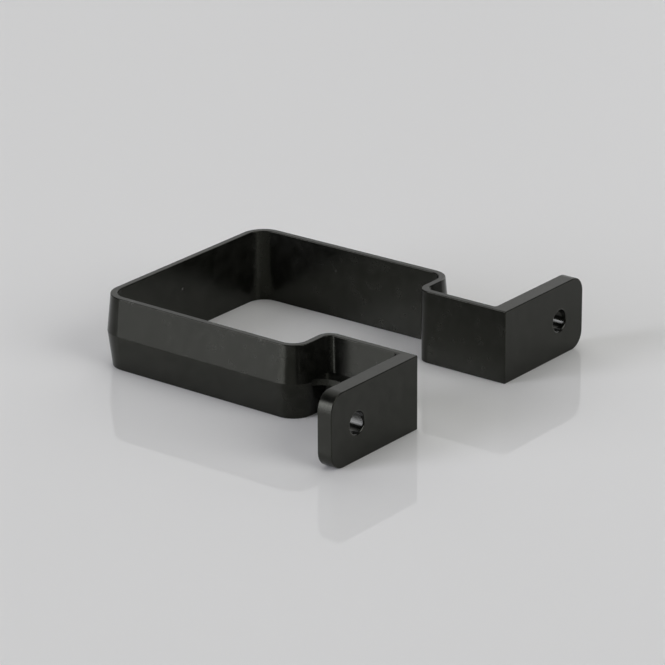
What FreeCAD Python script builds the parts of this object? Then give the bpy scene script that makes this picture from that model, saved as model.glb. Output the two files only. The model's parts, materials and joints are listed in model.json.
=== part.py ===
import FreeCAD, Part
import math
import os

# Wall bracket for a square rainwater pipe, moulded in one piece.
# X runs along the wall, Y into the wall, Z up along the pipe.
# The origin is midway between the two screw holes, on the face that meets the wall.

# Pipe loop, measured between the faces that touch the pipe
loop_width = 65.8
loop_depth = 64.8
side_splay = 0.45
stand_off = 30.0
closed_corner_radius = 5.0
shoulder_corner_radius = 4.2

# Strip section, thickest at a ridge that runs round the outside
band_height = 21.0
ridge_height = 10.25
rim_upper = 1.9
rim_lower = 1.75
ridge_thickness = 3.0
edge_radius = 0.25

# Arms that carry the loop off the wall
arm_gap = 39.8
arm_bend_radius = 4.0
pocket_radius = 2.4

# Feet with their screw holes
foot_span = 114.0
foot_thickness = 4.6
foot_corner_radius = 4.8
root_radius = 1.8
hole_spacing = 92.0
hole_radius = 3.05
hole_rim_radius = 0.48

# Stiffening rib along the outside of each arm
rib_reach = 5.4
rib_thickness = 1.8
rib_drop = 0.2
rib_root_radius = 6.0

# Places that follow from the sizes above
bottom = -band_height / 2
top = bottom + band_height
ridge_level = bottom + ridge_height
arm_face = arm_gap / 2
foot_end = foot_span / 2
shoulder_face = -stand_off
closed_face = -(stand_off + loop_depth)
loop_half = loop_width / 2
shoulder_half = loop_half + side_splay
rib_edge = arm_face + rim_upper + rib_reach
seat = rim_lower / 2
shallow_seat = rim_lower / 8
UP = FreeCAD.Vector(0, 0, 1)
BACK = FreeCAD.Vector(0, 1, 0)


def rounded_edges(points, radii, closed):
    """Straight edges between the points, with an arc of the given radius at each corner."""
    edges = []
    count = len(points)
    start = None
    corners = range(count) if closed else range(1, count - 1)
    joints = {}
    for i in corners:
        here = points[i]
        to_last = (points[i - 1] - here).normalize()
        to_next = (points[(i + 1) % count] - here).normalize()
        half = to_last.getAngle(to_next) / 2
        if radii[i] == 0:
            joints[i] = (here, None, here)
            continue
        setback = radii[i] / math.tan(half)
        middle = (to_last + to_next).normalize()
        reach = radii[i] / math.sin(half) - radii[i]
        joints[i] = (here + to_last * setback, here + middle * reach, here + to_next * setback)
    for i in range(count):
        first, mid, last = joints.get(i, (points[i], None, points[i]))
        if start is not None and (first - start).Length > Part.Precision.confusion():
            edges.append(Part.LineSegment(start, first).toShape())
        if mid is not None:
            edges.append(Part.Arc(first, mid, last).toShape())
        start = last
    if closed:
        first = joints[0][0]
        edges.append(Part.LineSegment(start, first).toShape())
    return edges


def rounded_face(points, radii):
    """Flat face bounded by the rounded outline through the points."""
    return Part.Face(Part.Wire(rounded_edges(points, radii, True)))


def mirrored(shape):
    """The same shape on the other side of the middle plane."""
    return shape.mirror(FreeCAD.Vector(0, 0, 0), FreeCAD.Vector(1, 0, 0))


# Strip: the ridged section carried along one path, from foot to foot round the pipe
strip_end = -foot_thickness / 2
path_points = [
    FreeCAD.Vector(-arm_face, strip_end, bottom),
    FreeCAD.Vector(-arm_face, shoulder_face, bottom),
    FreeCAD.Vector(-shoulder_half, shoulder_face, bottom),
    FreeCAD.Vector(-loop_half, closed_face, bottom),
    FreeCAD.Vector(loop_half, closed_face, bottom),
    FreeCAD.Vector(shoulder_half, shoulder_face, bottom),
    FreeCAD.Vector(arm_face, shoulder_face, bottom),
    FreeCAD.Vector(arm_face, strip_end, bottom),
]
path_radii = [
    0,
    arm_bend_radius,
    shoulder_corner_radius,
    closed_corner_radius,
    closed_corner_radius,
    shoulder_corner_radius,
    arm_bend_radius,
    0,
]
path = Part.Wire(rounded_edges(path_points, path_radii, False))
section_points = [
    FreeCAD.Vector(-arm_face, strip_end, bottom),
    FreeCAD.Vector(-arm_face - rim_lower, strip_end, bottom),
    FreeCAD.Vector(-arm_face - ridge_thickness, strip_end, ridge_level),
    FreeCAD.Vector(-arm_face - rim_upper, strip_end, top),
    FreeCAD.Vector(-arm_face, strip_end, top),
]
section_radii = [edge_radius, edge_radius, 0, edge_radius, edge_radius]
strip = path.makePipe(rounded_face(section_points, section_radii))

# Foot: a thick plate against the wall, its outer end rounded, with a screw hole whose wall-side rim is round
foot_points = [
    FreeCAD.Vector(arm_face, 0, bottom),
    FreeCAD.Vector(foot_end, 0, bottom),
    FreeCAD.Vector(foot_end, 0, top),
    FreeCAD.Vector(arm_face, 0, top),
]
foot_radii = [0, foot_corner_radius, foot_corner_radius, 0]
foot = rounded_face(foot_points, foot_radii).extrude(BACK * -foot_thickness)
face_edges = [e for e in foot.Edges if e.BoundBox.YLength < edge_radius]
arm_edges = [e for e in foot.Edges if e.BoundBox.XMax < arm_face + edge_radius]
foot_edges = face_edges + [e for e in arm_edges if e.BoundBox.YLength > edge_radius]
foot = foot.makeFillet(edge_radius, foot_edges)
hole_points = [
    FreeCAD.Vector(0, -foot_thickness, 0),
    FreeCAD.Vector(0, 0, 0),
    FreeCAD.Vector(hole_radius + hole_rim_radius, 0, 0),
    FreeCAD.Vector(hole_radius, 0, 0),
    FreeCAD.Vector(hole_radius, -foot_thickness, 0),
]
hole_radii = [0, 0, 0, hole_rim_radius, 0]
bore = rounded_face(hole_points, hole_radii).revolve(FreeCAD.Vector(0, 0, 0), BACK)
bore.translate(FreeCAD.Vector(hole_spacing / 2, 0, 0))
foot = foot.cut(bore)


def corner_outline(level, face, wall, toward, radius, depth):
    """Outline at one level of the rounded corner between the arm's outer face and a wall across it.

    The wall lies towards +Y or -Y of the corner, and the outline is sunk into arm and wall by depth.
    """
    lean = radius * (1 - math.sqrt(0.5))
    on_wall = FreeCAD.Vector(face + radius, wall, level)
    on_arc = FreeCAD.Vector(face + lean, wall - toward * lean, level)
    on_arm = FreeCAD.Vector(face, wall - toward * radius, level)
    in_arm = FreeCAD.Vector(face - depth, wall - toward * radius, level)
    in_corner = FreeCAD.Vector(face - depth, wall + toward * depth, level)
    in_wall = FreeCAD.Vector(face + radius, wall + toward * depth, level)
    edges = [
        Part.Arc(on_wall, on_arc, on_arm).toShape(),
        Part.LineSegment(on_arm, in_arm).toShape(),
        Part.LineSegment(in_arm, in_corner).toShape(),
        Part.LineSegment(in_corner, in_wall).toShape(),
        Part.LineSegment(in_wall, on_wall).toShape(),
    ]
    return Part.Wire(edges)


# Rounded inner corners beside the arm: its root at the foot, and the pocket at the shoulder
low_level = bottom + edge_radius
high_level = top - edge_radius
low_grow = (ridge_thickness - rim_lower) * edge_radius / ridge_height
high_grow = (ridge_thickness - rim_upper) * edge_radius / (band_height - ridge_height)
root_outlines = []
pocket_outlines = []
for level, thickness in [
    (low_level, rim_lower + low_grow),
    (ridge_level, ridge_thickness),
    (high_level, rim_upper + high_grow),
]:
    face = arm_face + thickness
    shoulder = shoulder_face + thickness
    root_outlines.append(corner_outline(level, face, -foot_thickness, 1, root_radius, seat))
    pocket_outlines.append(corner_outline(level, face, shoulder, -1, pocket_radius, shallow_seat))
root = Part.makeLoft(root_outlines, True, True)
pocket = Part.makeLoft(pocket_outlines, True, True)

# Rib: a level plate along the arm, just under the ridge, hollowed into the shoulder's round and the foot
rib_low = ridge_level - rib_drop - rib_thickness / 2
rib_high = rib_low + rib_thickness
drop_above = (ridge_thickness - rim_upper) * (rib_high - ridge_level) / (band_height - ridge_height)
drop_below = (ridge_thickness - rim_lower) * (ridge_level - rib_low) / ridge_height
wall_at_rib = ridge_thickness - max(drop_above, drop_below)
round_x = shoulder_half - shoulder_corner_radius
round_y = shoulder_face - shoulder_corner_radius
round_centre = FreeCAD.Vector(round_x, round_y, rib_low)
round_radius = shoulder_corner_radius + wall_at_rib - shallow_seat / 2
lean = math.asin((rib_edge + rib_root_radius - round_x) / (rib_root_radius + round_radius))
outward = FreeCAD.Vector(math.sin(lean), math.cos(lean), 0)
along = FreeCAD.Vector(math.cos(lean), -math.sin(lean), 0)
rib_tip = round_centre + outward * round_radius
foot_front = -foot_thickness + shallow_seat
rib_points = [
    FreeCAD.Vector(arm_face + seat, shoulder_face + seat, rib_low),
    rib_tip - outward * seat,
    rib_tip,
    rib_tip - along * ((rib_tip.x - rib_edge) / along.x),
    FreeCAD.Vector(rib_edge, foot_front, rib_low),
    FreeCAD.Vector(rib_edge + rib_root_radius, foot_front, rib_low),
    FreeCAD.Vector(rib_edge + rib_root_radius, foot_front + seat, rib_low),
    FreeCAD.Vector(arm_face + seat, foot_front + seat, rib_low),
]
rib_radii = [arm_bend_radius - seat, 0, 0, rib_root_radius, rib_root_radius, 0, 0, 0]
rib = rounded_face(rib_points, rib_radii).extrude(UP * rib_thickness)

# Whole bracket: the strip with a foot, rounded corners and a rib at each end, as one moulding
side = foot.fuse([root, pocket, rib])
bracket = strip.fuse([side, mirrored(side)]).removeSplitter()
bracket = bracket.Solids[0]

os.makedirs("parts", exist_ok=True)
bracket.exportStep("parts/bracket.step")
print("valid", bracket.isValid(), "volume", round(bracket.Volume, 1), "mm3")
print("solids", len(bracket.Solids), "faces", len(bracket.Faces))
print("box", bracket.optimalBoundingBox(False, False))
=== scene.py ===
import json
import math
import bpy
from mathutils import Matrix, Vector


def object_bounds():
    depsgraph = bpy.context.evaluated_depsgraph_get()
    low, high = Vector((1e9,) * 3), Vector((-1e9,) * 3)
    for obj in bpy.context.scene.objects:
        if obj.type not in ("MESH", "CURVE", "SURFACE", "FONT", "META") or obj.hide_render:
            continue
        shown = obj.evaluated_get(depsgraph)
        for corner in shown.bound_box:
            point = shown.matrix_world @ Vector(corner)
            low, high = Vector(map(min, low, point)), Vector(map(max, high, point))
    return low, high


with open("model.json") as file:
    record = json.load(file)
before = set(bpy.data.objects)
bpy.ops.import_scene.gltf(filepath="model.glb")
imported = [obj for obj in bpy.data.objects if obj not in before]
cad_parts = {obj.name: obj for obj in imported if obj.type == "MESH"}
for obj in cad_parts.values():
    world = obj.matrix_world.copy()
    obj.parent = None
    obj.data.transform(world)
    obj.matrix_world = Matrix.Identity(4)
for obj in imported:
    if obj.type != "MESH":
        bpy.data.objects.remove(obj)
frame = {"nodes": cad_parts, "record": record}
cad_low, cad_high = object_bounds()

# Bracket: one moulding in black plastic that loops round a square pipe and is screwed to a wall.
# It came out of its tool with a soft gloss, slow waves, faint bloom and fine grain, polished in the holes.
# Two specks of dust lie inside the loop, and the top edge is scuffed in two places.
plastic_dark = (0.0042, 0.0044, 0.0036, 1.0)
plastic_bloom = (0.0112, 0.0114, 0.0098, 1.0)
plastic_shine = 0.33
plastic_tint = (0.98, 1.0, 0.83, 1.0)
smooth_roughness = 0.19
dull_roughness = 0.25
wave_cells, wave_detail = 70.0, 1.0
wave_height = 0.000020
bloom_cells, bloom_detail = 300.0, 3.0
bloom_low, bloom_high = 0.35, 0.65
mottle_cells, mottle_detail = 1100.0, 2.0
mottle_low, mottle_high = 0.3, 0.7
mottle_height = 0.0000012
grain_cells, grain_detail = 6500.0, 2.0
grain_height = 0.0000003

# Dust and scuffs, each with its place and its size in metres
dust_colour = (0.11, 0.11, 0.105, 1.0)
closed_side_speck = ((0.00208, -0.0948, 0.0025), 0.00060)
far_side_speck = ((-0.0330, -0.06779, 0.00349), 0.00028)
top_edge = cad_high[2]
scuff_colour = (0.060, 0.060, 0.056, 1.0)
scuff_low, scuff_high = 0.42, 0.58
shoulder_scuff = ((0.03517, -0.04059, top_edge), 0.0014)
closed_corner_scuff = ((0.03433, -0.08586, top_edge), 0.0016)

# Screw holes: the polish ends at their rims, where a spot round each hole has nearly faded
millimetre = 0.001
wall_screws = [m for m in frame["record"]["mounts"] if m["name"] == "wall_screws"][0]
hole_x = wall_screws["dims"]["spacing_x_mm"] * millimetre / 2
hole_spot = 0.0042
hole_places = [((side * hole_x, 0.0, 0.0), hole_spot) for side in (1, -1)]
hole_polish = 0.45
polish_low, polish_high = 0.06, 0.11
across_wall = (1.0, 0.0, 1.0)


def spot_group():
    """A node group that gives a soft round spot: one at its place, nought beyond its size."""
    group = bpy.data.node_groups.new("spot", "ShaderNodeTree")
    group.interface.new_socket("Position", in_out="INPUT", socket_type="NodeSocketVector")
    group.interface.new_socket("Place", in_out="INPUT", socket_type="NodeSocketVector")
    group.interface.new_socket("Size", in_out="INPUT", socket_type="NodeSocketFloat")
    group.interface.new_socket("Share", in_out="OUTPUT", socket_type="NodeSocketFloat")
    entry = group.nodes.new("NodeGroupInput")
    leave = group.nodes.new("NodeGroupOutput")
    gap = group.nodes.new("ShaderNodeVectorMath")
    gap.operation = "DISTANCE"
    fade = group.nodes.new("ShaderNodeMapRange")
    fade.interpolation_type = "SMOOTHSTEP"
    fade.inputs["To Min"].default_value = 1.0
    fade.inputs["To Max"].default_value = 0.0
    group.links.new(entry.outputs["Position"], gap.inputs[0])
    group.links.new(entry.outputs["Place"], gap.inputs[1])
    group.links.new(gap.outputs["Value"], fade.inputs["Value"])
    group.links.new(entry.outputs["Size"], fade.inputs["From Max"])
    group.links.new(fade.outputs["Result"], leave.inputs["Share"])
    return group


def moulded_plastic():
    """Black moulded plastic with a soft gloss, uneven in tone, roughness and flatness."""
    material = bpy.data.materials.new("moulded_plastic")
    material.use_nodes = True
    nodes = material.node_tree.nodes
    links = material.node_tree.links
    surface = nodes["Principled BSDF"]
    surface.inputs["Specular IOR Level"].default_value = plastic_shine
    surface.inputs["Specular Tint"].default_value = plastic_tint
    here = nodes.new("ShaderNodeTexCoord").outputs["Object"]
    spot_tree = spot_group()

    def noise(name, cells, detail):
        """Noise in the part's own frame, with its scale in cells to the metre."""
        texture = nodes.new("ShaderNodeTexNoise")
        texture.name = name
        texture.inputs["Scale"].default_value = cells
        texture.inputs["Detail"].default_value = detail
        links.new(here, texture.inputs["Vector"])
        return texture.outputs[0]

    def spread(source, low, high, bottom=0.0, top=1.0):
        """The source's range from low to high, laid over the range from bottom to top."""
        ranged = nodes.new("ShaderNodeMapRange")
        ranged.inputs["From Min"].default_value = low
        ranged.inputs["From Max"].default_value = high
        ranged.inputs["To Min"].default_value = bottom
        ranged.inputs["To Max"].default_value = top
        links.new(source, ranged.inputs["Value"])
        return ranged.outputs["Result"]

    def combine(operation, first, second):
        """Two shares put together by the named operation."""
        joined = nodes.new("ShaderNodeMath")
        joined.operation = operation
        links.new(first, joined.inputs[0])
        links.new(second, joined.inputs[1])
        return joined.outputs["Value"]

    def spots(marks, position):
        """The share of the surface that the marks cover, each a place and a size in metres."""
        share = None
        for centre, size in marks:
            spot = nodes.new("ShaderNodeGroup")
            spot.node_tree = spot_tree
            spot.inputs["Place"].default_value = centre
            spot.inputs["Size"].default_value = size
            links.new(position, spot.inputs["Position"])
            one = spot.outputs["Share"]
            share = one if share is None else combine("MAXIMUM", share, one)
        return share

    def mix_colour(share, first, second):
        """A colour between two others, each a constant or a socket."""
        mixed = nodes.new("ShaderNodeMix")
        mixed.data_type = "RGBA"
        links.new(share, mixed.inputs["Factor"])
        for socket, value in (("A", first), ("B", second)):
            target = [s for s in mixed.inputs if s.name == socket and s.type == "RGBA"][0]
            if isinstance(value, tuple):
                target.default_value = value
            else:
                links.new(value, target)
        return [s for s in mixed.outputs if s.type == "RGBA"][0]

    def bump(height, distance, below):
        """Relief of the given height in metres, on top of the relief below."""
        relief = nodes.new("ShaderNodeBump")
        relief.inputs["Distance"].default_value = distance
        links.new(height, relief.inputs["Height"])
        if below is not None:
            links.new(below, relief.inputs["Normal"])
        return relief.outputs["Normal"]

    slow_waves = noise("slow_waves", wave_cells, wave_detail)
    bloom = noise("bloom", bloom_cells, bloom_detail)
    mottle = noise("mottle", mottle_cells, mottle_detail)
    grain = noise("grain", grain_cells, grain_detail)
    flat = nodes.new("ShaderNodeVectorMath")
    flat.operation = "MULTIPLY"
    flat.inputs[1].default_value = across_wall
    links.new(here, flat.inputs[0])
    holes = spots(hole_places, flat.outputs["Vector"])
    scuffs = spots([shoulder_scuff, closed_corner_scuff], here)
    scuffs = combine("MULTIPLY", scuffs, spread(mottle, scuff_low, scuff_high))
    dust = spots([closed_side_speck, far_side_speck], here)

    tone = mix_colour(spread(bloom, bloom_low, bloom_high), plastic_dark, plastic_bloom)
    tone = mix_colour(scuffs, tone, scuff_colour)
    tone = mix_colour(dust, tone, dust_colour)
    links.new(tone, surface.inputs["Base Color"])
    roughness = spread(mottle, mottle_low, mottle_high, smooth_roughness, dull_roughness)
    links.new(roughness, surface.inputs["Roughness"])
    polish = spread(holes, polish_low, polish_high, top=hole_polish)
    links.new(polish, surface.inputs["Coat Weight"])
    relief = bump(slow_waves, wave_height, None)
    relief = bump(mottle, mottle_height, relief)
    relief = bump(grain, grain_height, relief)
    links.new(relief, surface.inputs["Normal"])
    return material


bracket = frame["nodes"]["bracket"]
bracket.material_slots[0].material = moulded_plastic()

# Floor: a plain pale sheet with a polished face, under the bracket's lower edges.
# It is wide enough that its edge is out of view.
floor_half = 6.0
floor_colour = (0.905, 0.905, 0.888, 1.0)
floor_roughness = 0.02
floor_shine = 0.20
floor_level = cad_low[2]
floor_mesh = bpy.data.meshes.new("floor")
floor_corners = [(-1, -1), (1, -1), (1, 1), (-1, 1)]
floor_points = [(x * floor_half, y * floor_half, floor_level) for x, y in floor_corners]
floor_mesh.from_pydata(floor_points, [], [(0, 1, 2, 3)])
floor = bpy.data.objects.new("floor", floor_mesh)
bpy.context.scene.collection.objects.link(floor)
floor_finish = bpy.data.materials.new("floor_sheet")
floor_finish.use_nodes = True
floor_surface = floor_finish.node_tree.nodes["Principled BSDF"]
floor_surface.inputs["Base Color"].default_value = floor_colour
floor_surface.inputs["Roughness"].default_value = floor_roughness
floor_surface.inputs["Specular IOR Level"].default_value = floor_shine
floor_mesh.materials.append(floor_finish)

# Light: one soft panel overhead, in a dark room with soft glows that the bracket's faces mirror.
# The glows are a pale wall behind the loop, a side and a front light at the right of the view,
# and a window at its left in three parts, which lights the near side and both holes.
panel_heading = 90.0
panel_elevation = 89.0
panel_size = 1.46
panel_radiance = 1.05
panel_distance = 2.0
wall_white = (1.0, 1.0, 1.0, 1.0)
window_white = (1.0, 1.0, 1.10, 1.0)
room_middle = (cad_low + cad_high) / 2


def toward(heading, elevation):
    """The unit vector from the bracket to a heading and an elevation in degrees."""
    turn, rise = math.radians(heading), math.radians(elevation)
    return Vector((math.cos(turn) * math.cos(rise), math.sin(turn) * math.cos(rise), math.sin(rise)))


panel_lamp = bpy.data.lights.new("top_panel", "AREA")
panel_lamp.shape = "SQUARE"
panel_lamp.size = panel_size
panel_lamp.energy = panel_radiance * math.pi * panel_size * panel_size
panel = bpy.data.objects.new("top_panel", panel_lamp)
panel_way = toward(panel_heading, panel_elevation)
panel_facing = panel_way.to_track_quat("Z", "Y").to_matrix().to_4x4()
panel.matrix_world = Matrix.Translation(room_middle + panel_way * panel_distance) @ panel_facing
bpy.context.scene.collection.objects.link(panel)

room = bpy.data.worlds.new("room")
room.use_nodes = True
bpy.context.scene.world = room
room_nodes = room.node_tree.nodes
room_links = room.node_tree.links
room_direction = room_nodes.new("ShaderNodeTexCoord").outputs["Generated"]


def glow_group():
    """A node group that gives a soft round glow round one direction of the room."""
    group = bpy.data.node_groups.new("glow", "ShaderNodeTree")
    group.interface.new_socket("Direction", in_out="INPUT", socket_type="NodeSocketVector")
    group.interface.new_socket("Toward", in_out="INPUT", socket_type="NodeSocketVector")
    group.interface.new_socket("Outer", in_out="INPUT", socket_type="NodeSocketFloat")
    group.interface.new_socket("Inner", in_out="INPUT", socket_type="NodeSocketFloat")
    group.interface.new_socket("Level", in_out="INPUT", socket_type="NodeSocketFloat")
    group.interface.new_socket("Strength", in_out="OUTPUT", socket_type="NodeSocketFloat")
    entry = group.nodes.new("NodeGroupInput")
    leave = group.nodes.new("NodeGroupOutput")
    nearness = group.nodes.new("ShaderNodeVectorMath")
    nearness.operation = "DOT_PRODUCT"
    fade = group.nodes.new("ShaderNodeMapRange")
    fade.interpolation_type = "SMOOTHSTEP"
    group.links.new(entry.outputs["Direction"], nearness.inputs[0])
    group.links.new(entry.outputs["Toward"], nearness.inputs[1])
    group.links.new(nearness.outputs["Value"], fade.inputs["Value"])
    group.links.new(entry.outputs["Outer"], fade.inputs["From Min"])
    group.links.new(entry.outputs["Inner"], fade.inputs["From Max"])
    group.links.new(entry.outputs["Level"], fade.inputs["To Max"])
    group.links.new(fade.outputs["Result"], leave.inputs["Strength"])
    return group


glow_tree = glow_group()


def glow(name, colour, heading, elevation, inner, outer, level):
    """Light of one colour round a direction, full within the inner angle and none past the outer."""
    shape = room_nodes.new("ShaderNodeGroup")
    shape.node_tree = glow_tree
    shape.name = name
    shape.inputs["Toward"].default_value = toward(heading, elevation)
    shape.inputs["Inner"].default_value = math.cos(math.radians(inner))
    shape.inputs["Outer"].default_value = math.cos(math.radians(outer))
    shape.inputs["Level"].default_value = level
    source = room_nodes.new("ShaderNodeBackground")
    source.inputs["Color"].default_value = colour
    room_links.new(room_direction, shape.inputs["Direction"])
    room_links.new(shape.outputs["Strength"], source.inputs["Strength"])
    return source.outputs["Background"]


glows = [
    glow("wall", wall_white, heading=225.0, elevation=30.0, inner=12.0, outer=51.0, level=0.68),
    glow("side", wall_white, heading=180.0, elevation=15.0, inner=8.0, outer=35.0, level=0.95),
    glow("front", wall_white, heading=90.0, elevation=30.0, inner=5.0, outer=28.0, level=3.1),
    glow("window_high", window_white, heading=-32.0, elevation=30.0, inner=3.0, outer=15.0, level=4.2),
    glow("window_low", window_white, heading=-30.0, elevation=13.0, inner=4.0, outer=20.0, level=4.4),
    glow("window_far", window_white, heading=-9.0, elevation=12.0, inner=3.0, outer=14.0, level=5.2),
]
room_light = glows[0]
for source in glows[1:]:
    both = room_nodes.new("ShaderNodeAddShader")
    room_links.new(room_light, both.inputs[0])
    room_links.new(source, both.inputs[1])
    room_light = both.outputs["Shader"]
room_links.new(room_light, room_nodes["World Output"].inputs["Surface"])

# Camera: a long lens that looks at the bracket from the wall side, a little from above.
# It stands where the photograph's straight edges place it, about a metre away.
camera_heading = 127.670
camera_elevation = 21.0757
camera_roll = -0.3037
camera_distance = 1.04608
camera_target = Vector((0.008083, -0.037262, 0.004614))
camera_sensor = 36.0
camera_lens = 209.9
turn, rise, roll = (math.radians(v) for v in (camera_heading, camera_elevation, camera_roll))
back = Vector((math.sin(turn) * math.cos(rise), -math.cos(turn) * math.cos(rise), math.sin(rise)))
level_right = Vector((math.cos(turn), math.sin(turn), 0.0))
level_up = back.cross(level_right)
right = level_right * math.cos(roll) + level_up * math.sin(roll)
up = level_up * math.cos(roll) - level_right * math.sin(roll)
lens = bpy.data.cameras.new("camera")
lens.sensor_width = camera_sensor
lens.lens = camera_lens
camera = bpy.data.objects.new("camera", lens)
camera_facing = Matrix((right, up, back)).transposed().to_4x4()
camera.matrix_world = Matrix.Translation(camera_target + back * camera_distance) @ camera_facing
bpy.context.scene.collection.objects.link(camera)
bpy.context.scene.camera = camera
bpy.context.scene.view_settings.view_transform = "Standard"
